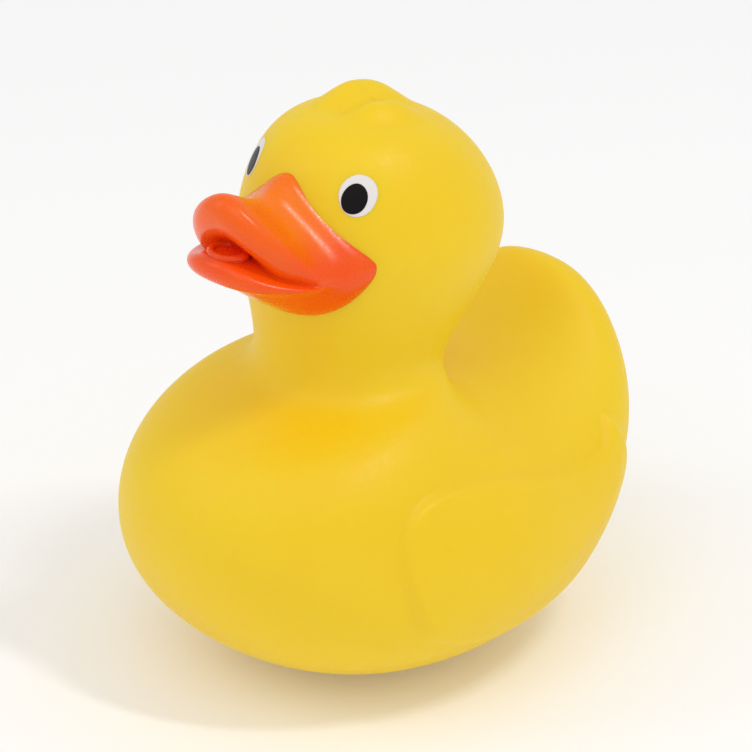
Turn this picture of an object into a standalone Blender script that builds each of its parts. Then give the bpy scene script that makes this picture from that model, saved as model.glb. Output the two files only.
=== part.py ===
"""A bath duck: one hollow vinyl moulding with a squeaker pressed into its base.

Metres, +Z up. The duck faces -Y and stands on Z = 0, with the origin under the middle of its box.
"""

import math

import bmesh
import bpy
import numpy as np
from mathutils import Matrix, Vector

MM = 0.001

# Driving dimensions, in millimetres.
WALL = 2.0
FLOOR = 3.0
HEAD_CENTRE = (-0.5, 64.0)
STAND_SHIFT = -0.903
HOLE_RADIUS = 5.5
RECESS_RADIUS = 8.0
RECESS_DEPTH = 1.2
CLEARANCE = 0.3
SQUEAKER_TOP = 9.5
SQUEAKER_WALL = 1.4
SQUEAKER_BOTTOM = 0.2
AIR_HOLE_RADIUS = 1.2
BARB = 0.8
SLOT_WIDTH = 0.9
REED_WIDTH = 0.3

# Each wing is a low pad on the body's side, drawn as (y, z) points seen from the side.
WING_OUTLINE = (
    (-21.6, 23.5), (-20.8, 30.6), (-15.8, 34.2), (-6.0, 33.8), (4.0, 31.0), (11.0, 29.0),
    (17.0, 28.2), (21.6, 28.6), (24.4, 32.0), (26.8, 26.4), (24.6, 18.0), (14.5, 12.5),
    (0.0, 10.5), (-11.0, 11.2), (-18.6, 15.8),
)
WING_STEP = 0.9
WING_EDGE = 1.4
WING_PILLOW = 0.8
WING_PILLOW_REACH = 9.0
WING_BAND = ((-28.0, 30.0), (5.0, 40.0))

# The tuft is two curls side by side on the crown: centre (x, y), radii, turn and height of each.
TUFT_CURLS = (
    ((-2.4, 0.4), (5.8, 8.8), 0.45, 2.9),
    ((3.6, -1.8), (4.4, 7.2), 0.35, 1.9),
)
TUFT_CREASE = 0.14
CROWN_HEIGHT = 74.0

# The trunk is lofted along a bent spine, from the tail tip round the body and up to the crown.
# Each ring: inner point (y, z), outer point (y, z), half width, squareness, dish of the inner side.
TRUNK_RINGS = (
    ((34.3, 47.7), (39.0, 45.9), 4.8, 2.0, 0.0),
    ((31.5, 46.4), (42.0, 39.5), 12.0, 2.0, 0.1),
    ((26.0, 43.0), (41.3, 28.5), 19.8, 2.0, 0.1),
    ((20.0, 40.6), (36.6, 18.0), 25.0, 2.05, 0.05),
    ((15.2, 39.8), (28.0, 7.8), 27.8, 2.1, 0.0),
    ((11.6, 40.0), (16.0, -0.4), 30.4, 2.15, 0.0),
    ((9.0, 40.4), (0.0, -2.4), 32.6, 2.2, 0.0),
    ((7.2, 41.0), (-17.3, -0.6), 33.2, 2.2, 0.0),
    ((6.2, 41.8), (-32.5, 6.0), 31.5, 2.3, 0.0),
    ((5.8, 42.6), (-40.5, 18.0), 27.8, 2.25, 0.0),
    ((6.0, 43.4), (-41.0, 31.0), 24.1, 2.2, 0.0),
    ((6.6, 44.4), (-33.8, 39.6), 20.0, 2.1, 0.0),
    ((7.8, 45.6), (-24.2, 42.0), 15.8, 2.0, 0.0),
    ((10.0, 47.4), (-20.0, 44.4), 13.8, 2.0, 0.0),
    ((12.8, 50.6), (-19.4, 48.8), 14.5, 2.0, 0.0),
    ((16.8, 56.4), (-19.9, 55.2), 17.2, 2.0, 0.0),
    ((20.4, 62.5), (-21.3, 63.0), 19.8, 2.0, 0.0),
    ((19.0, 69.9), (-20.5, 71.3), 18.3, 2.0, 0.0),
    ((13.3, 77.0), (-16.8, 79.3), 14.1, 2.0, 0.0),
    ((6.2, 81.2), (-9.0, 82.8), 8.0, 2.0, 0.0),
)
TRUNK_COLUMNS = 12

# The bill is one lofted skin: out from the head to the lips, over them and back into the mouth.
# Each ring: half width, then the (forward, up) of its top, corner and bottom from the head's centre,
# how square it is: upper height, upper reach, lower height, lower reach, and the pinch at its corner.
BILL_RINGS = (
    (8.0, (8.0, 8.0), (4.0, 1.0), (8.0, -5.0), 1.2, 2.0, 3.0, 2.0, 0.0),
    (12.9, (14.0, 13.0), (8.5, 1.7), (14.0, -6.8), 0.85, 2.0, 3.0, 2.0, 0.04),
    (14.6, (17.6, 14.2), (13.5, 1.3), (18.8, -7.6), 0.85, 2.0, 3.8, 2.3, 0.05),
    (13.3, (19.2, 12.2), (16.4, 0.8), (21.8, -5.4), 0.84, 2.5, 3.5, 2.5, 0.05),
    (12.1, (22.2, 11.0), (18.9, 0.8), (25.2, -2.9), 1.0, 3.0, 3.0, 3.0, 0.05),
    (12.1, (25.6, 12.4), (20.8, 0.5), (28.4, 0.0), 1.35, 3.2, 2.6, 3.0, 0.08),
    (12.1, (28.4, 14.1), (21.8, 0.6), (31.2, 0.7), 1.55, 3.2, 2.5, 3.0, 0.1),
    (11.3, (30.3, 13.6), (22.6, 0.9), (32.3, 2.4), 1.55, 3.0, 2.5, 3.0, 0.12),
    (8.8, (31.2, 11.2), (25.4, 1.6), (32.2, 4.1), 1.6, 2.8, 2.2, 3.0, 0.13),
    (7.0, (30.2, 8.4), (26.2, 2.2), (31.0, 5.0), 1.7, 2.6, 2.0, 3.0, 0.12),
    (5.6, (28.6, 6.8), (26.6, 2.9), (29.4, 4.7), 2.0, 2.5, 2.0, 3.0, 0.1),
    (3.0, (27.0, 6.0), (26.4, 3.9), (27.2, 4.6), 2.0, 2.0, 2.0, 2.0, 0.0),
)
BILL_COLUMNS = 24
BILL_CROWN = 0.8
PINCH_NARROWNESS = 40


def clear_scene():
    for obj in list(bpy.data.objects):
        bpy.data.objects.remove(obj)


def add_object(name, mesh):
    obj = bpy.data.objects.new(name, mesh)
    bpy.context.scene.collection.objects.link(obj)
    return obj


def lofted_cage(name, rings):
    """A closed cage of quads through rings of points, with a polygon at each end."""
    shape = bmesh.new()
    loops = [[shape.verts.new([c * MM for c in point]) for point in ring] for ring in rings]
    for near, far in zip(loops, loops[1:]):
        for i in range(len(near)):
            j = (i + 1) % len(near)
            shape.faces.new((near[i], near[j], far[j], far[i]))
    shape.faces.new(loops[0])
    shape.faces.new(reversed(loops[-1]))
    bmesh.ops.recalc_face_normals(shape, faces=shape.faces)
    mesh = bpy.data.meshes.new(name)
    shape.to_mesh(mesh)
    shape.free()
    mesh.shade_smooth()
    return mesh


def trunk_ring(inner, outer, half_width, squareness, dish):
    inner, outer = np.array(inner), np.array(outer)
    middle = (inner + outer) / 2
    ring = []
    for i in range(TRUNK_COLUMNS):
        angle = 2 * math.pi * i / TRUNK_COLUMNS
        end = inner if math.cos(angle) > 0 else outer
        reach = abs(math.cos(angle)) ** (2 / squareness)
        across = math.copysign(abs(math.sin(angle)) ** (2 / squareness), math.sin(angle))
        if math.cos(angle) > 0:
            reach -= 2 * dish * math.cos(angle) ** 4
        y, z = middle + (end - middle) * reach
        ring.append((half_width * across, y, z))
    return ring


def bill_ring(half_width, top, corner, bottom, up_h, up_f, low_h, low_f, pinch):
    ring = []
    for i in range(BILL_COLUMNS):
        angle = 2 * math.pi * i / BILL_COLUMNS
        upper = math.cos(angle) >= 0
        end = top if upper else bottom
        across = math.sin(angle)
        rise = (1 - abs(across) ** up_h) ** BILL_CROWN if upper else 1 - abs(across) ** low_h
        reach = 1 - abs(across) ** (up_f if upper else low_f)
        forward = corner[0] + (end[0] - corner[0]) * reach
        up = corner[1] + (end[1] - corner[1]) * rise
        tuck = 1 - pinch * abs(across) ** PINCH_NARROWNESS
        ring.append((half_width * across * tuck, HEAD_CENTRE[0] - forward, HEAD_CENTRE[1] + up))
    return ring


def subdivide(obj, levels):
    modifier = obj.modifiers.new("Subdivision", "SUBSURF")
    modifier.levels = modifier.render_levels = levels


def cut(obj, tool, operation):
    modifier = obj.modifiers.new("Boolean", "BOOLEAN")
    modifier.operation = operation
    modifier.solver = "EXACT"
    modifier.object = tool
    tool.hide_render = True
    tool.display_type = "WIRE"


def smooth(value):
    value = min(max(value, 0.0), 1.0)
    return value * value * (3 - 2 * value)


def curve_through(points, steps):
    """A closed smooth curve through the points."""
    count = len(points)
    curve = []
    for i in range(count):
        p0, p1, p2, p3 = (np.array(points[(i + k - 1) % count]) for k in range(4))
        for step in range(steps):
            t = step / steps
            curve.append(0.5 * (2 * p1 + (p2 - p0) * t + (2 * p0 - 5 * p1 + 4 * p2 - p3) * t ** 2
                                + (3 * p1 - p0 - 3 * p2 + p3) * t ** 3))
    return np.array(curve)


def depth_inside(point, curve):
    """How far a point is inside a closed curve; negative outside."""
    ends = np.roll(curve, -1, axis=0)
    spans = ends - curve
    place = ((point - curve) * spans).sum(axis=1) / (spans * spans).sum(axis=1)
    nearest = curve + spans * np.clip(place, 0, 1)[:, None]
    distance = np.sqrt(((point - nearest) ** 2).sum(axis=1).min())
    rises = (curve[:, 1] > point[1]) != (ends[:, 1] > point[1])
    crossing = curve[:, 0] + (point[1] - curve[:, 1]) * spans[:, 0] / np.where(rises, spans[:, 1], 1)
    inside = (rises & (point[0] < crossing)).sum() % 2 == 1
    return distance if inside else -distance


def wing_height(place, normal, curve):
    depth = depth_inside(np.array((place.y, place.z)), curve)
    step = smooth(depth / WING_EDGE + 0.5)
    pillow = smooth(depth / WING_PILLOW_REACH)
    return (WING_STEP * step + WING_PILLOW * pillow) * smooth(abs(normal.x) * 4 - 0.6)


def tuft_height(place):
    heights = []
    for centre, radii, turn, height in TUFT_CURLS:
        x, y = place.x - centre[0], place.y - centre[1]
        across = (x * math.cos(turn) - y * math.sin(turn)) / radii[0]
        along = (x * math.sin(turn) + y * math.cos(turn)) / radii[1]
        heights.append(height * smooth(1.15 - 1.15 * math.hypot(across, along)))
    first, second = heights
    return (first + second + math.hypot(first - second, TUFT_CREASE) - TUFT_CREASE) / 2


def raise_relief(mesh):
    """Push the skin outward under the wings and the tuft."""
    curve = curve_through(WING_OUTLINE, 6)
    (front, back), (low, high) = WING_BAND
    for vertex in mesh.vertices:
        place = vertex.co / MM
        normal = vertex.normal.copy()
        if place.z > CROWN_HEIGHT:
            vertex.co += Vector((0, 0, tuft_height(place) * MM))
        elif low < place.z < high and front < place.y < back:
            vertex.co += normal * wing_height(place, normal, curve) * MM


def frozen(obj):
    """The object with its modifiers made into plain mesh."""
    graph = bpy.context.evaluated_depsgraph_get()
    mesh = bpy.data.meshes.new_from_object(obj.evaluated_get(graph))
    obj.modifiers.clear()
    obj.data = mesh
    return mesh


def cavity_rings():
    """The trunk's rings moved in by the wall, without the solid tail tip."""
    rings = []
    for inner, outer, half_width, squareness, dish in TRUNK_RINGS[2:-1]:
        inner, outer = np.array(inner), np.array(outer)
        inwards = (outer - inner) / np.linalg.norm(outer - inner)
        ring = trunk_ring(inner + inwards * (WALL + 0.4), outer - inwards * (WALL + 0.4),
                          half_width - WALL - 0.4, squareness, dish)
        rings.append([(x, y, max(z, FLOOR)) for x, y, z in ring])
    return rings


def turned(name, profile, steps):
    """A closed profile of (radius, z) points turned about the vertical axis."""
    shape = bmesh.new()
    points = [shape.verts.new((r * MM, 0, z * MM)) for r, z in profile]
    edges = [shape.edges.new((points[i], points[(i + 1) % len(points)])) for i in range(len(points))]
    bmesh.ops.spin(shape, geom=points + edges, cent=(0, 0, 0), axis=(0, 0, 1),
                   angle=2 * math.pi, steps=steps, use_merge=True)
    bmesh.ops.remove_doubles(shape, verts=shape.verts, dist=1e-6)
    bmesh.ops.dissolve_degenerate(shape, dist=1e-7, edges=shape.edges)
    bmesh.ops.recalc_face_normals(shape, faces=shape.faces)
    mesh = bpy.data.meshes.new(name)
    shape.to_mesh(mesh)
    shape.free()
    return mesh


def block(name, low, high):
    shape = bmesh.new()
    bmesh.ops.create_cube(shape, size=1.0)
    size = [(b - a) * MM for a, b in zip(low, high)]
    centre = [(a + b) / 2 * MM for a, b in zip(low, high)]
    bmesh.ops.transform(shape, matrix=Matrix.Translation(centre) @ Matrix.Diagonal((*size, 1.0)),
                        verts=shape.verts)
    mesh = bpy.data.meshes.new(name)
    shape.to_mesh(mesh)
    shape.free()
    return mesh


def plain_material(name, colour, roughness):
    material = bpy.data.materials.new(name)
    material.use_nodes = True
    shader = material.node_tree.nodes["Principled BSDF"]
    shader.inputs["Base Color"].default_value = (*colour, 1.0)
    shader.inputs["Roughness"].default_value = roughness
    return material


def build_shell():
    """The vinyl moulding: trunk and bill in one skin, hollowed, cut flat and bored for the squeaker."""
    shell = add_object("duck_shell", lofted_cage("duck_shell", [trunk_ring(*r) for r in TRUNK_RINGS]))
    subdivide(shell, 2)
    raise_relief(frozen(shell))
    bill = add_object("bill_tool", lofted_cage("bill_tool", [bill_ring(*r) for r in BILL_RINGS]))
    subdivide(bill, 1)
    cavity = add_object("cavity_tool", lofted_cage("cavity_tool", cavity_rings()))
    subdivide(cavity, 1)
    below = add_object("below_tool", block("below_tool", (-90, -90, -20), (90, 90, 0)))
    top = FLOOR + 2
    recess_profile = ((0, -2), (RECESS_RADIUS, -2), (RECESS_RADIUS, RECESS_DEPTH),
                      (HOLE_RADIUS, RECESS_DEPTH), (HOLE_RADIUS, top), (0, top))
    recess = add_object("recess_tool", turned("recess_tool", recess_profile, 48))
    for piece in (shell, bill, cavity):
        piece.data.transform(Matrix.Translation((0, STAND_SHIFT * MM, 0)))
    cut(shell, bill, "UNION")
    cut(shell, cavity, "DIFFERENCE")
    cut(shell, below, "DIFFERENCE")
    cut(shell, recess, "DIFFERENCE")
    shell.data.materials.clear()
    shell.data.materials.append(plain_material("yellow_vinyl", (0.83, 0.56, 0.03), 0.5))


def build_squeaker():
    """The cup that snaps into the base, the slotted plug inside it and the plug's reed."""
    flange = RECESS_RADIUS - CLEARANCE
    tube = HOLE_RADIUS - CLEARANCE
    flange_top = RECESS_DEPTH - CLEARANCE
    bore = tube - SQUEAKER_WALL
    bottom, inside = SQUEAKER_BOTTOM, SQUEAKER_BOTTOM + SQUEAKER_WALL
    barb = FLOOR + BARB
    body_profile = ((AIR_HOLE_RADIUS, bottom), (flange, bottom), (flange, flange_top), (tube, flange_top),
                    (tube, barb), (tube + BARB, barb + 0.1), (tube, barb + 2 * BARB),
                    (tube, SQUEAKER_TOP), (bore, SQUEAKER_TOP), (bore, inside), (AIR_HOLE_RADIUS, inside))
    body = add_object("squeaker_body", turned("squeaker_body", body_profile, 40))
    body.data.materials.append(plain_material("white_plastic", (0.85, 0.84, 0.8), 0.4))
    low, high = inside + CLEARANCE, SQUEAKER_TOP - 0.7
    insert_profile = ((0.8, low), (bore - CLEARANCE, low), (bore - CLEARANCE, high), (0.8, high))
    insert = add_object("squeaker_insert", turned("squeaker_insert", insert_profile, 32))
    insert.data.materials.append(plain_material("insert_plastic", (0.8, 0.8, 0.78), 0.4))
    slot_shape = block("slot_tool", (-SLOT_WIDTH / 2, -2.3, 4.0), (SLOT_WIDTH / 2, 2.3, 10.0))
    slot = add_object("slot_tool", slot_shape)
    cut(insert, slot, "DIFFERENCE")
    reed_shape = block("squeaker_reed", (-REED_WIDTH / 2, -2.0, 4.3), (REED_WIDTH / 2, 2.0, 9.2))
    reed = add_object("squeaker_reed", reed_shape)
    reed.data.materials.append(plain_material("brass_reed", (0.7, 0.5, 0.2), 0.3))


clear_scene()
build_shell()
build_squeaker()
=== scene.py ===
"""A yellow vinyl bath duck on a pale studio floor, drawn over the part's own frame."""

import math

import bmesh
import bpy
import numpy as np
from mathutils import Matrix, Vector
from mathutils.bvhtree import BVHTree


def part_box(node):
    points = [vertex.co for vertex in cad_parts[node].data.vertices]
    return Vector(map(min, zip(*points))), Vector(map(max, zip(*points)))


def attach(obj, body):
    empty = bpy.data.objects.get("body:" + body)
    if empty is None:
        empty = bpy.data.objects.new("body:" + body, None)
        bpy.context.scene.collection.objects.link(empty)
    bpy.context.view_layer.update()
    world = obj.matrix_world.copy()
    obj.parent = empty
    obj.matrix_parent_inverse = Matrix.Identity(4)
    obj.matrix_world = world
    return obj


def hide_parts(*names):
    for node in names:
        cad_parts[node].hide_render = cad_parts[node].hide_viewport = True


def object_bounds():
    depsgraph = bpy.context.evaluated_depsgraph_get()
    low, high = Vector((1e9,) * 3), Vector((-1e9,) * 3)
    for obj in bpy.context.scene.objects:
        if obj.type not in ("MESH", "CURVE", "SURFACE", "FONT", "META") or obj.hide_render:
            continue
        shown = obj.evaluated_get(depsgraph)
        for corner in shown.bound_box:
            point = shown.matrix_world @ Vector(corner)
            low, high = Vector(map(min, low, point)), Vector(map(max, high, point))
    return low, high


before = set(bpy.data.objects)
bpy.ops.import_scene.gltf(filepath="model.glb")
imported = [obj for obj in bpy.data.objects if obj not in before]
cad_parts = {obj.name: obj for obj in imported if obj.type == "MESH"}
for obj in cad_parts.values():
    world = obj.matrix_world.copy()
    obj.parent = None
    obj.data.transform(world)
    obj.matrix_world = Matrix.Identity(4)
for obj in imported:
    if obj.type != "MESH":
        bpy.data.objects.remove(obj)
cad_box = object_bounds()

# One design millimetre, from the height of the moulding in the frame.
DESIGN_HEIGHT = 84.134
SHELL_LOW, SHELL_HIGH = (np.array(corner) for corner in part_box("duck_shell"))
MM = (SHELL_HIGH[2] - SHELL_LOW[2]) / DESIGN_HEIGHT
CENTRE_Y = (SHELL_LOW[1] + SHELL_HIGH[1]) / 2

# The head's centre as (y, z), and how far the design sits from the middle of its box.
HEAD_CENTRE = (-0.5, 64.0)
STAND_SHIFT = -0.903

# Body, tail, neck and head: rings along a bent spine from the tail tip to the crown.
# Each ring: inner point (y, z), outer point (y, z), half width, squareness, dish of the inner side.
TRUNK_RINGS = (
    ((34.3, 47.7), (39.0, 45.9), 4.8, 2.0, 0.0),
    ((31.5, 46.4), (42.0, 39.5), 12.0, 2.0, 0.1),
    ((26.0, 43.0), (41.3, 28.5), 19.8, 2.0, 0.1),
    ((20.0, 40.6), (36.6, 18.0), 25.0, 2.05, 0.05),
    ((15.2, 39.8), (28.0, 7.8), 27.8, 2.1, 0.0),
    ((11.6, 40.0), (16.0, -0.4), 30.4, 2.15, 0.0),
    ((9.0, 40.4), (0.0, -2.4), 32.6, 2.2, 0.0),
    ((7.2, 41.0), (-17.3, -0.6), 33.2, 2.2, 0.0),
    ((6.2, 41.8), (-32.5, 6.0), 31.5, 2.3, 0.0),
    ((5.8, 42.6), (-40.5, 18.0), 27.8, 2.25, 0.0),
    ((6.0, 43.4), (-41.0, 31.0), 24.1, 2.2, 0.0),
    ((6.6, 44.4), (-33.8, 39.6), 20.0, 2.1, 0.0),
    ((7.8, 45.6), (-24.2, 42.0), 15.8, 2.0, 0.0),
    ((10.0, 47.4), (-20.0, 44.4), 13.8, 2.0, 0.0),
    ((12.8, 50.6), (-19.4, 48.8), 14.5, 2.0, 0.0),
    ((16.8, 56.4), (-19.9, 55.2), 17.2, 2.0, 0.0),
    ((20.4, 62.5), (-21.3, 63.0), 19.8, 2.0, 0.0),
    ((19.0, 69.9), (-20.5, 71.3), 18.3, 2.0, 0.0),
    ((13.3, 77.0), (-16.8, 79.3), 14.1, 2.0, 0.0),
    ((6.2, 81.2), (-9.0, 82.8), 8.0, 2.0, 0.0),
)
TRUNK_COLUMNS = 12

# The bill: one skin out from the head to the lips, over them and back into the mouth.
# Each ring: half width, then (forward, up) of its top, corner and bottom from the head's centre,
# how square it is (upper height, upper reach, lower height, lower reach) and its corner's pinch.
BILL_RINGS = (
    (8.0, (8.0, 8.0), (4.0, 1.0), (8.0, -5.0), 1.2, 2.0, 3.0, 2.0, 0.0),
    (12.9, (14.0, 13.0), (8.5, 1.7), (14.0, -6.8), 0.85, 2.0, 3.0, 2.0, 0.04),
    (14.6, (17.6, 14.2), (13.5, 1.3), (18.8, -7.6), 0.85, 2.0, 3.8, 2.3, 0.05),
    (13.3, (19.2, 12.2), (16.4, 0.8), (21.8, -5.4), 0.84, 2.5, 3.5, 2.5, 0.05),
    (12.1, (22.2, 11.0), (18.9, 0.8), (25.2, -2.9), 1.0, 3.0, 3.0, 3.0, 0.05),
    (12.1, (25.6, 12.4), (20.8, 0.5), (28.4, 0.0), 1.35, 3.2, 2.6, 3.0, 0.08),
    (12.1, (28.4, 14.1), (21.8, 0.6), (31.2, 0.7), 1.55, 3.2, 2.5, 3.0, 0.1),
    (11.3, (30.3, 13.6), (22.6, 0.9), (32.3, 2.4), 1.55, 3.0, 2.5, 3.0, 0.12),
    (8.8, (31.2, 11.2), (25.4, 1.6), (32.2, 4.1), 1.6, 2.8, 2.2, 3.0, 0.13),
    (7.0, (30.2, 8.4), (26.2, 2.2), (31.0, 5.0), 1.7, 2.6, 2.0, 3.0, 0.12),
    (5.6, (28.6, 6.8), (26.6, 2.9), (29.4, 4.7), 2.0, 2.5, 2.0, 3.0, 0.1),
    (3.0, (27.0, 6.0), (26.4, 3.9), (27.2, 4.6), 2.0, 2.0, 2.0, 2.0, 0.0),
)
BILL_COLUMNS = 24

# How full the upper bill's section is (1 is an even arch), and how narrow its corners' pinch is.
BILL_CROWN = 0.8
PINCH_NARROWNESS = 40

# Each wing is a low pad on the body's side, drawn as (y, z) points seen from the side.
WING_OUTLINE = (
    (-21.6, 23.5), (-20.8, 30.6), (-15.8, 34.2), (-6.0, 33.8), (4.0, 31.0), (11.0, 29.0),
    (17.0, 28.2), (21.6, 28.6), (24.4, 32.0), (26.8, 26.4), (24.6, 18.0), (14.5, 12.5),
    (0.0, 10.5), (-11.0, 11.2), (-18.6, 15.8),
)

# A wing's step at its edge and the gentle swell within, each as (height, width of the slope).
WING_EDGE = (0.9, 1.4)
WING_SWELL = (0.8, 9)
# Wings are raised only between these heights and within this reach of the middle.
WING_LOW, WING_HIGH, WING_REACH = 5, 40, 32

# The tuft: two curls side by side on the crown: centre (x, y), radii, turn and height of each.
TUFT_CURLS = (
    ((-2.4, 0.4), (5.8, 8.8), 0.45, 2.9),
    ((3.6, -1.8), (4.4, 7.2), 0.35, 1.9),
)

# How sharply a curl falls away, how softly the two meet, and the height they are raised above.
TUFT_FALL = 1.15
TUFT_BLEND, TUFT_SINK = 0.02, 0.07
CROWN_HEIGHT = 74

# Below BASE_BAND the skin is flattened onto the ground, softly by BASE_SOFTNESS.
BASE_BAND = 6
BASE_SOFTNESS = 0.16

# The squeaker's recess and hole in the base, as (radius, z).
SQUEAKER_POCKET = (
    (0, -2), (8.4, -2), (8.0, 0.3), (8.0, 1.2), (5.5, 1.2), (5.5, 3.0), (7.5, 3.0),
    (7.5, 10.4), (0, 10.4),
)

# The tongue's place as (forward, up) from the head's centre, and its radii.
TONGUE_AT = (28.4, 4.4)
TONGUE_RADII = (3.1, 2.7, 0.6)
RIM_LIFT, RIM_INSET, RIM_THICKNESS = 0.4, 0.5, 0.55
RIM_STEPS, RIM_SIDES = 48, 12

# Direction from the head's centre to an eye, as (sideways, forward, up), and the prints' radii.
EYE_DIRECTION = (9.35, 12.5, 10.6)
EYE_RADII = (2.6, 2.95)
PUPIL_RADII = (1.75, 2.15)
PUPIL_SHIFT = (0.45, -0.5)
EYE_TILT = 0.4
# How far each print's face stands off the skin, and how thick its ink is.
WHITE_LIFT, PUPIL_LIFT = 0.04, 0.08
INK_THICKNESS = 0.06
SPOT_RINGS, SPOT_TURNS = 14, 72
# Rays that find the skin start this far from the head's centre.
RAY_START = 30

# The studio, in metres and degrees.
LIGHT_DISTANCE = 0.9
LIGHT_TARGET_HEIGHT = 0.04
FLOOR_HALF_SIZE = 3.0
FLOOR_GAP = 0.0001
WORLD_STRENGTH = 0.7
SENSOR_WIDTH = 36
FRAME_WIDTH = 0.10805


# ---------------------------------------------------------------- shapes

def smooth(value):
    value = np.clip(value, 0.0, 1.0)
    return value * value * (3 - 2 * value)


def add_object(name, mesh):
    obj = bpy.data.objects.new(name, mesh)
    bpy.context.scene.collection.objects.link(obj)
    return obj


def placed(point):
    """A design point in millimetres as world metres."""
    x, y, z = point
    return Vector((x * MM, CENTRE_Y + (y + STAND_SHIFT) * MM, SHELL_LOW[2] + z * MM))


def lofted_cage(name, rings):
    """A closed cage of quads through rings of points, with a polygon at each end."""
    shape = bmesh.new()
    loops = [[shape.verts.new(point) for point in ring] for ring in rings]
    for near, far in zip(loops, loops[1:]):
        for i in range(len(near)):
            j = (i + 1) % len(near)
            shape.faces.new((near[i], near[j], far[j], far[i]))
    shape.faces.new(loops[0])
    shape.faces.new(reversed(loops[-1]))
    bmesh.ops.recalc_face_normals(shape, faces=shape.faces)
    mesh = bpy.data.meshes.new(name)
    shape.to_mesh(mesh)
    shape.free()
    mesh.shade_smooth()
    return mesh


def trunk_ring(inner, outer, half_width, squareness, dish):
    inner, outer = np.array(inner), np.array(outer)
    middle = (inner + outer) / 2
    ring = []
    for i in range(TRUNK_COLUMNS):
        angle = 2 * math.pi * i / TRUNK_COLUMNS
        end = inner if math.cos(angle) > 0 else outer
        reach = abs(math.cos(angle)) ** (2 / squareness)
        across = math.copysign(abs(math.sin(angle)) ** (2 / squareness), math.sin(angle))
        if math.cos(angle) > 0:
            reach -= 2 * dish * math.cos(angle) ** 4
        y, z = middle + (end - middle) * reach
        ring.append((half_width * across, y, z))
    return ring


def bill_ring(half_width, top, corner, bottom, up_h, up_f, low_h, low_f, pinch):
    ring = []
    for i in range(BILL_COLUMNS):
        angle = 2 * math.pi * i / BILL_COLUMNS
        upper = math.cos(angle) >= 0
        end = top if upper else bottom
        across = math.sin(angle)
        rise = (1 - abs(across) ** up_h) ** BILL_CROWN if upper else 1 - abs(across) ** low_h
        reach = 1 - abs(across) ** (up_f if upper else low_f)
        forward = corner[0] + (end[0] - corner[0]) * reach
        up = corner[1] + (end[1] - corner[1]) * rise
        tuck = 1 - pinch * abs(across) ** PINCH_NARROWNESS
        ring.append((half_width * across * tuck, HEAD_CENTRE[0] - forward, HEAD_CENTRE[1] + up))
    return ring


def subdivided(name, rings, levels):
    """The smooth surface of a lofted cage, still in design millimetres."""
    obj = add_object(name, lofted_cage(name, rings))
    modifier = obj.modifiers.new("Subdivision", "SUBSURF")
    modifier.levels = modifier.render_levels = levels
    graph = bpy.context.evaluated_depsgraph_get()
    mesh = bpy.data.meshes.new_from_object(obj.evaluated_get(graph))
    obj.modifiers.clear()
    obj.data = mesh
    mesh.shade_smooth()
    return obj


def vertex_arrays(mesh):
    places = np.empty(len(mesh.vertices) * 3)
    normals = np.empty(len(mesh.vertices) * 3)
    mesh.vertices.foreach_get("co", places)
    mesh.vertices.foreach_get("normal", normals)
    return places.reshape(-1, 3), normals.reshape(-1, 3)


def set_places(mesh, places):
    mesh.vertices.foreach_set("co", places.ravel())
    mesh.update()


def curve_through(points, steps):
    """A closed smooth curve through the points."""
    count = len(points)
    curve = []
    for i in range(count):
        p0, p1, p2, p3 = (np.array(points[(i + k - 1) % count]) for k in range(4))
        for step in range(steps):
            t = step / steps
            curve.append(0.5 * (2 * p1 + (p2 - p0) * t + (2 * p0 - 5 * p1 + 4 * p2 - p3) * t ** 2
                                + (3 * p1 - p0 - 3 * p2 + p3) * t ** 3))
    return np.array(curve)


def depth_inside(points, curve):
    """How far each point is inside a closed curve; negative outside."""
    ends = np.roll(curve, -1, axis=0)
    nearest = np.full(len(points), 1e9)
    crossings = np.zeros(len(points), dtype=int)
    for start, end in zip(curve, ends):
        span = end - start
        place = np.clip(((points - start) @ span) / (span @ span), 0, 1)
        gap = points - start - place[:, None] * span
        nearest = np.minimum(nearest, np.hypot(gap[:, 0], gap[:, 1]))
        if start[1] != end[1]:
            spans = (start[1] > points[:, 1]) != (end[1] > points[:, 1])
            crossing = start[0] + (points[:, 1] - start[1]) * span[0] / span[1]
            crossings += spans & (points[:, 0] < crossing)
    return np.where(crossings % 2 == 1, nearest, -nearest)


def wing_heights(places, normals):
    """How far the wings raise each point; none where the skin doesn't face sideways."""
    depth = depth_inside(places[:, 1:], curve_through(WING_OUTLINE, 8))
    side = smooth(np.abs(normals[:, 0]) * 4 - 0.6)
    edge = WING_EDGE[0] * smooth(depth / WING_EDGE[1] + 0.5)
    swell = WING_SWELL[0] * smooth(depth / WING_SWELL[1])
    return (edge + swell) * side


def tuft_heights(places):
    """How far the curls raise each point, with a soft crease where the two meet."""
    heights = []
    for centre, radii, turn, height in TUFT_CURLS:
        x, y = places[:, 0] - centre[0], places[:, 1] - centre[1]
        across = (x * math.cos(turn) - y * math.sin(turn)) / radii[0]
        along = (x * math.sin(turn) + y * math.cos(turn)) / radii[1]
        heights.append(height * smooth(TUFT_FALL - TUFT_FALL * np.hypot(across, along)))
    first, second = heights
    return (first + second + np.sqrt((first - second) ** 2 + TUFT_BLEND)) / 2 - TUFT_SINK


def raise_relief(mesh):
    """Wings, tuft and the flattened base, all in the one skin."""
    places, normals = vertex_arrays(mesh)
    body = ((places[:, 2] > WING_LOW) & (places[:, 2] < WING_HIGH)
            & (np.abs(places[:, 1]) < WING_REACH))
    crown = places[:, 2] > CROWN_HEIGHT
    heights = wing_heights(places[body], normals[body])
    places[body] += normals[body] * heights[:, None]
    places[crown, 2] += tuft_heights(places[crown])
    low = places[:, 2] < BASE_BAND
    places[low, 2] = (places[low, 2] + np.sqrt(places[low, 2] ** 2 + BASE_SOFTNESS)) / 2
    set_places(mesh, places)


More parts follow.
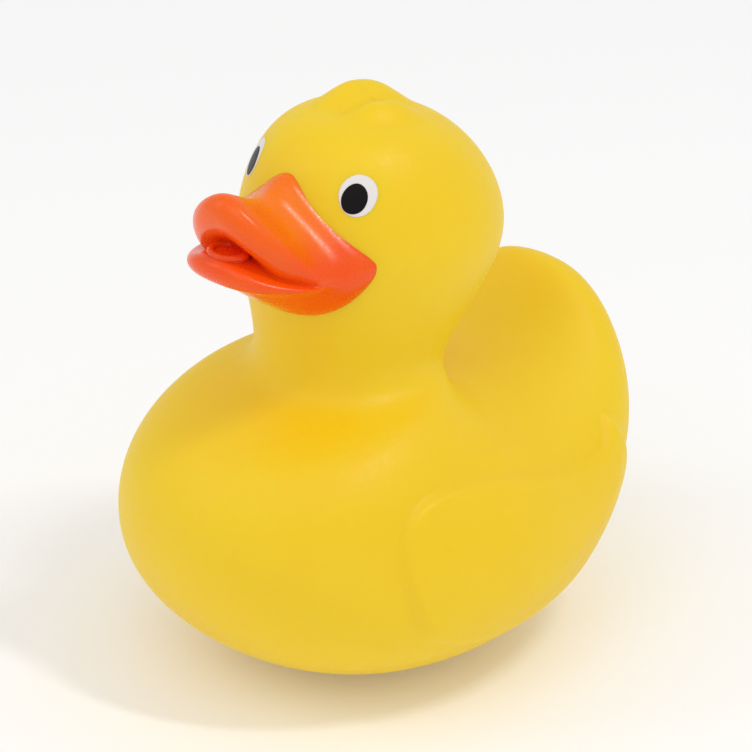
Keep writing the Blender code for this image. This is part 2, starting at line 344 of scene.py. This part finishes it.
def to_world(mesh):
    places, _ = vertex_arrays(mesh)
    places[:, 0] *= MM
    places[:, 1] = CENTRE_Y + (places[:, 1] + STAND_SHIFT) * MM
    places[:, 2] = SHELL_LOW[2] + places[:, 2] * MM
    set_places(mesh, places)


def turned(name, profile, steps):
    """A closed profile of (radius, z) points turned about the vertical axis."""
    shape = bmesh.new()
    points = [shape.verts.new((r * MM, 0, SHELL_LOW[2] + z * MM)) for r, z in profile]
    edges = [shape.edges.new((points[i], points[(i + 1) % len(points)]))
             for i in range(len(points))]
    bmesh.ops.spin(shape, geom=points + edges, cent=(0, 0, 0), axis=(0, 0, 1),
                   angle=2 * math.pi, steps=steps, use_merge=True)
    bmesh.ops.remove_doubles(shape, verts=shape.verts, dist=1e-6)
    bmesh.ops.dissolve_degenerate(shape, dist=1e-7, edges=shape.edges)
    bmesh.ops.recalc_face_normals(shape, faces=shape.faces)
    mesh = bpy.data.meshes.new(name)
    shape.to_mesh(mesh)
    shape.free()
    return mesh


def cut(obj, tool, operation):
    modifier = obj.modifiers.new("Boolean", "BOOLEAN")
    modifier.operation = operation
    modifier.solver = "EXACT"
    modifier.object = tool


def build_skin():
    skin = subdivided("skin", [trunk_ring(*ring) for ring in TRUNK_RINGS], 4)
    raise_relief(skin.data)
    to_world(skin.data)
    tool = add_object("pocket", turned("pocket", SQUEAKER_POCKET, 96))
    cut(skin, tool, "DIFFERENCE")
    graph = bpy.context.evaluated_depsgraph_get()
    skin_mesh = bpy.data.meshes.new_from_object(skin.evaluated_get(graph))
    skin.modifiers.clear()
    skin.data = skin_mesh
    bpy.data.objects.remove(tool)
    return skin


def ring_of(shape, centre, radii, thickness):
    """A round-sectioned oval ring, level, added to a shape."""
    loops = []
    for step in range(RIM_STEPS):
        turn = 2 * math.pi * step / RIM_STEPS
        loop = []
        for side in range(RIM_SIDES):
            around = 2 * math.pi * side / RIM_SIDES
            swell = thickness * math.cos(around)
            point = Vector(((radii[0] + swell) * math.cos(turn),
                            (radii[1] + swell) * math.sin(turn),
                            thickness * math.sin(around)))
            loop.append(shape.verts.new(centre + point))
        loops.append(loop)
    for step in range(RIM_STEPS):
        near, far = loops[step], loops[(step + 1) % RIM_STEPS]
        for side in range(RIM_SIDES):
            other = (side + 1) % RIM_SIDES
            shape.faces.new((near[side], far[side], far[other], near[other]))


def add_tongue(mesh):
    """A low tongue with a raised rim inside the lips, joined to the bill's skin."""
    shape = bmesh.new()
    shape.from_mesh(mesh)
    made = bmesh.ops.create_uvsphere(shape, u_segments=48, v_segments=24, radius=1.0)["verts"]
    middle = Vector((0, HEAD_CENTRE[0] - TONGUE_AT[0], HEAD_CENTRE[1] + TONGUE_AT[1]))
    matrix = Matrix.Translation(middle) @ Matrix.Diagonal((*TONGUE_RADII, 1.0))
    bmesh.ops.transform(shape, matrix=matrix, verts=made)
    rim_radii = (TONGUE_RADII[0] - RIM_INSET, TONGUE_RADII[1] - RIM_INSET)
    ring_of(shape, middle + Vector((0, 0, RIM_LIFT)), rim_radii, RIM_THICKNESS)
    shape.to_mesh(mesh)
    shape.free()
    mesh.shade_smooth()


def build_bill():
    bill = subdivided("bill", [bill_ring(*ring) for ring in BILL_RINGS], 3)
    add_tongue(bill.data)
    to_world(bill.data)
    return bill


def wobble(turn, seed):
    """The slight unevenness of a printed spot's edge."""
    return 1 + 0.012 * math.sin(3 * turn + seed) + 0.005 * math.sin(5 * turn + 2 * seed)


def printed_spot(name, tree, side, radii, shift, tilt, lift, seed):
    """A thin spot of ink that follows the head's skin."""
    sideways, forward, up = EYE_DIRECTION
    centre = placed((0, *HEAD_CENTRE))
    aim = Vector((side * sideways, -forward, up)).normalized()
    right = aim.cross(Vector((0, 0, 1))).normalized() * side
    above = right.cross(aim).normalized() * side
    if above.z < 0:
        above.negate()
    shape = bmesh.new()

    def on_skin(across, rise):
        start = centre + aim * RAY_START * MM + (right * across + above * rise) * MM
        hit = tree.ray_cast(start, -aim)
        return hit[0] + hit[1] * lift * MM

    middle = shape.verts.new(on_skin(*shift))
    loops = []
    for ring in range(1, SPOT_RINGS + 1):
        loop = []
        for step in range(SPOT_TURNS):
            turn = 2 * math.pi * step / SPOT_TURNS
            reach = ring / SPOT_RINGS * wobble(turn, seed)
            flat = (radii[0] * reach * math.cos(turn), radii[1] * reach * math.sin(turn))
            across = flat[0] * math.cos(tilt) - flat[1] * math.sin(tilt) + shift[0]
            rise = flat[0] * math.sin(tilt) + flat[1] * math.cos(tilt) + shift[1]
            loop.append(shape.verts.new(on_skin(across, rise)))
        loops.append(loop)
    for step in range(SPOT_TURNS):
        shape.faces.new((middle, loops[0][step], loops[0][(step + 1) % SPOT_TURNS]))
    for near, far in zip(loops, loops[1:]):
        for step in range(SPOT_TURNS):
            other = (step + 1) % SPOT_TURNS
            shape.faces.new((near[step], far[step], far[other], near[other]))
    bmesh.ops.recalc_face_normals(shape, faces=shape.faces)
    if sum((face.normal for face in shape.faces), Vector()).dot(aim) < 0:
        bmesh.ops.reverse_faces(shape, faces=shape.faces)
    mesh = bpy.data.meshes.new(name)
    shape.to_mesh(mesh)
    shape.free()
    mesh.shade_smooth()
    spot = add_object(name, mesh)
    film = spot.modifiers.new("Ink film", "SOLIDIFY")
    film.thickness = INK_THICKNESS * MM
    film.offset = -1.0
    return spot


def build_eyes(skin):
    graph = bpy.context.evaluated_depsgraph_get()
    tree = BVHTree.FromObject(skin, graph)
    spots = []
    for side, label in ((1, "left"), (-1, "right")):
        white = printed_spot(f"eye_white_{label}", tree, side, EYE_RADII, (0, 0),
                             EYE_TILT, WHITE_LIFT, side)
        pupil = printed_spot(f"pupil_{label}", tree, side, PUPIL_RADII, PUPIL_SHIFT,
                             EYE_TILT, PUPIL_LIFT, 3 + side)
        spots += [(white, "eye_white"), (pupil, "eye_black")]
    return spots


# ---------------------------------------------------------------- materials

def new_material(name):
    material = bpy.data.materials.new(name)
    material.use_nodes = True
    nodes = material.node_tree.nodes
    return material, nodes, material.node_tree.links, nodes["Principled BSDF"]


def noise(nodes, links, coordinates, scale, detail=2.0, roughness=0.5):
    node = nodes.new("ShaderNodeTexNoise")
    node.inputs["Scale"].default_value = scale
    node.inputs["Detail"].default_value = detail
    node.inputs["Roughness"].default_value = roughness
    links.new(coordinates, node.inputs["Vector"])
    return node.outputs["Fac"]


def ramp(nodes, links, source, low, high, from_low=0.3, from_high=0.7):
    node = nodes.new("ShaderNodeMapRange")
    node.interpolation_type = "SMOOTHSTEP"
    node.inputs["From Min"].default_value = from_low
    node.inputs["From Max"].default_value = from_high
    node.inputs["To Min"].default_value = low
    node.inputs["To Max"].default_value = high
    links.new(source, node.inputs["Value"])
    return node.outputs["Result"]


def mixed(nodes, links, factor, first, second):
    node = nodes.new("ShaderNodeMix")
    node.data_type = "RGBA"
    for socket, value in ((node.inputs[6], first), (node.inputs[7], second)):
        if isinstance(value, tuple):
            socket.default_value = (*value, 1.0)
        else:
            links.new(value, socket)
    links.new(factor, node.inputs[0])
    return node.outputs[2]


def bump(nodes, links, height, distance, normal=None):
    node = nodes.new("ShaderNodeBump")
    node.inputs["Strength"].default_value = 1.0
    node.inputs["Distance"].default_value = distance
    links.new(height, node.inputs["Height"])
    if normal is not None:
        links.new(normal, node.inputs["Normal"])
    return node.outputs["Normal"]


def near(nodes, links, place, point, inner, outer):
    """A soft mask: 1 within inner millimetres of a design point, 0 beyond outer."""
    gap = nodes.new("ShaderNodeVectorMath")
    gap.operation = "DISTANCE"
    links.new(place, gap.inputs[0])
    gap.inputs[1].default_value = placed(point)
    return ramp(nodes, links, gap.outputs["Value"], 1.0, 0.0, inner * MM, outer * MM)


def from_head(forward, up, side=0.0):
    return side, HEAD_CENTRE[0] - forward, HEAD_CENTRE[1] + up


def vinyl_material():
    """Soft yellow vinyl: slightly translucent, barely uneven in colour, with a fine skin."""
    material, nodes, links, shader = new_material("yellow vinyl")
    place = nodes.new("ShaderNodeTexCoord").outputs["Object"]
    cloud = noise(nodes, links, place, 45.0, 3.0)
    colour = mixed(nodes, links, ramp(nodes, links, cloud, 0.0, 1.0),
                   (0.90, 0.60, 0.004), (0.905, 0.63, 0.008))
    links.new(colour, shader.inputs["Base Color"])
    sheen = noise(nodes, links, place, 900.0)
    links.new(ramp(nodes, links, sheen, 0.42, 0.52), shader.inputs["Roughness"])
    shader.inputs["Specular IOR Level"].default_value = 0.38
    shader.inputs["Subsurface Weight"].default_value = 0.35
    shader.inputs["Subsurface Radius"].default_value = (1.0, 0.5, 0.06)
    shader.inputs["Subsurface Scale"].default_value = 0.0035
    waves = bump(nodes, links, noise(nodes, links, place, 60.0, 2.0), 0.0004)
    grain = bump(nodes, links, noise(nodes, links, place, 2600.0, 2.0), 0.00002, waves)
    links.new(grain, shader.inputs["Normal"])
    return material


def orange_material():
    """Sprayed orange paint: semi-gloss and speckled, thin over the saddle and at the throat, with
    painted shade deepening the red inside the mouth.
    """
    material, nodes, links, shader = new_material("orange paint")
    place = nodes.new("ShaderNodeTexCoord").outputs["Object"]
    speckle = noise(nodes, links, place, 3000.0, 3.0, 0.7)
    cloud = noise(nodes, links, place, 110.0, 2.0)
    colour = mixed(nodes, links, ramp(nodes, links, cloud, 0.0, 1.0),
                   (0.93, 0.082, 0.001), (0.95, 0.112, 0.002))
    saddle = near(nodes, links, place, from_head(21.5, 8.0, 1.0), 3.0, 12.0)
    colour = mixed(nodes, links, saddle, colour, (0.97, 0.2, 0.001))
    # Painted shade: a deeper, darker red inside the mouth, where the lips would shade it.
    painted_mouth_shade = near(nodes, links, place, from_head(27.0, 5.0, 1.0), 1.0, 7.5)
    colour = mixed(nodes, links, painted_mouth_shade, colour, (0.92, 0.045, 0.003))
    throat = near(nodes, links, place, from_head(22.5, -5.0, -1.0), 1.5, 6.5)
    colour = mixed(nodes, links, throat, colour, (0.91, 0.45, 0.004))
    links.new(colour, shader.inputs["Base Color"])
    links.new(ramp(nodes, links, speckle, 0.16, 0.34), shader.inputs["Roughness"])
    shader.inputs["Specular IOR Level"].default_value = 0.34
    shader.inputs["Subsurface Weight"].default_value = 0.2
    shader.inputs["Subsurface Radius"].default_value = (1.0, 0.25, 0.05)
    shader.inputs["Subsurface Scale"].default_value = 0.002
    grain = bump(nodes, links, speckle, 0.000012)
    links.new(grain, shader.inputs["Normal"])
    return material


def ink_material(name, colour, roughness):
    material, nodes, links, shader = new_material(name)
    place = nodes.new("ShaderNodeTexCoord").outputs["Object"]
    shader.inputs["Base Color"].default_value = (*colour, 1.0)
    shader.inputs["Specular IOR Level"].default_value = 0.14
    grain = noise(nodes, links, place, 2600.0, 2.0)
    uneven = ramp(nodes, links, grain, roughness - 0.05, roughness + 0.05)
    links.new(uneven, shader.inputs["Roughness"])
    links.new(bump(nodes, links, grain, 0.00002), shader.inputs["Normal"])
    return material


def plain_material(name, colour, roughness, metallic=0.0):
    material, nodes, links, shader = new_material(name)
    place = nodes.new("ShaderNodeTexCoord").outputs["Object"]
    shader.inputs["Base Color"].default_value = (*colour, 1.0)
    shader.inputs["Metallic"].default_value = metallic
    grain = noise(nodes, links, place, 900.0, 2.0)
    uneven = ramp(nodes, links, grain, roughness - 0.05, roughness + 0.05)
    links.new(uneven, shader.inputs["Roughness"])
    return material


def floor_material():
    """A white floor that gives off a little light of its own, to match the photo's white ground."""
    material = plain_material("floor", (0.93, 0.93, 0.93), 0.6)
    shader = material.node_tree.nodes["Principled BSDF"]
    shader.inputs["Emission Color"].default_value = (1.0, 1.0, 1.0, 1.0)
    shader.inputs["Emission Strength"].default_value = 0.1
    return material


def give(obj, material):
    obj.data.materials.clear()
    obj.data.materials.append(material)


# ---------------------------------------------------------------- the duck

skin = build_skin()
give(skin, vinyl_material())
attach(skin, "root")
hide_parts("duck_shell")

bill = build_bill()
give(bill, orange_material())
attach(bill, "root")

inks = {"eye_white": ink_material("eye white", (0.82, 0.78, 0.76), 0.4),
        "eye_black": ink_material("eye black", (0.005, 0.004, 0.004), 0.35)}
for spot, slot in build_eyes(skin):
    give(spot, inks[slot])
    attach(spot, "root")

give(bpy.data.objects["squeaker_body"], plain_material("white plastic", (0.78, 0.77, 0.72), 0.35))
give(bpy.data.objects["squeaker_insert"], plain_material("insert plastic", (0.72, 0.71, 0.67), 0.4))
give(bpy.data.objects["squeaker_reed"], plain_material("brass reed", (0.72, 0.5, 0.2), 0.3, 1.0))

# ---------------------------------------------------------------- studio

scene = bpy.context.scene
scene.view_settings.view_transform = "Standard"


def aim(obj, target):
    direction = Vector(target) - obj.location
    obj.rotation_mode = "QUATERNION"
    obj.rotation_quaternion = direction.to_track_quat("-Z", "Y")


def softbox(name, azimuth, elevation, width, height, power):
    """An area light aimed at the duck: angles in degrees, sizes in metres, power in watts."""
    a, e = math.radians(azimuth), math.radians(elevation)
    light = bpy.data.lights.new(name, "AREA")
    light.shape = "RECTANGLE"
    light.size = width
    light.size_y = height
    light.energy = power
    obj = bpy.data.objects.new(name, light)
    scene.collection.objects.link(obj)
    middle = Vector((0, 0, LIGHT_TARGET_HEIGHT))
    obj.location = middle + LIGHT_DISTANCE * Vector((
        math.sin(a) * math.cos(e), -math.cos(a) * math.cos(e), math.sin(e)))
    aim(obj, middle)


floor_mesh = bpy.data.meshes.new("floor")
floor_shape = bmesh.new()
bmesh.ops.create_grid(floor_shape, x_segments=1, y_segments=1, size=FLOOR_HALF_SIZE)
floor_shape.to_mesh(floor_mesh)
floor_shape.free()
floor = add_object("floor", floor_mesh)
floor.location.z = cad_box[0][2] - FLOOR_GAP
give(floor, floor_material())

softbox("key", 20, 55, 0.6, 0.6, 0.8)
softbox("left", -40, 35, 0.25, 0.6, 0.6)
softbox("top", 105, 60, 0.06, 0.2, 1.6)

world = bpy.data.worlds.new("studio")
scene.world = world
world.use_nodes = True
world.node_tree.nodes["Background"].inputs[0].default_value = (1, 1, 1, 1)
world.node_tree.nodes["Background"].inputs[1].default_value = WORLD_STRENGTH

VIEW_AZIMUTH, VIEW_ELEVATION = math.radians(43.0), math.radians(26.5)
VIEW_DISTANCE = 0.6
TARGET = placed((0.0, 0.5, 39.2))
camera_data = bpy.data.cameras.new("camera")
camera = bpy.data.objects.new("camera", camera_data)
scene.collection.objects.link(camera)
camera.location = TARGET + VIEW_DISTANCE * Vector((
    math.sin(VIEW_AZIMUTH) * math.cos(VIEW_ELEVATION),
    -math.cos(VIEW_AZIMUTH) * math.cos(VIEW_ELEVATION),
    math.sin(VIEW_ELEVATION)))
aim(camera, TARGET)
camera_data.sensor_width = SENSOR_WIDTH
camera_data.lens = SENSOR_WIDTH * VIEW_DISTANCE / FRAME_WIDTH
camera_data.clip_start = 0.01
scene.camera = camera
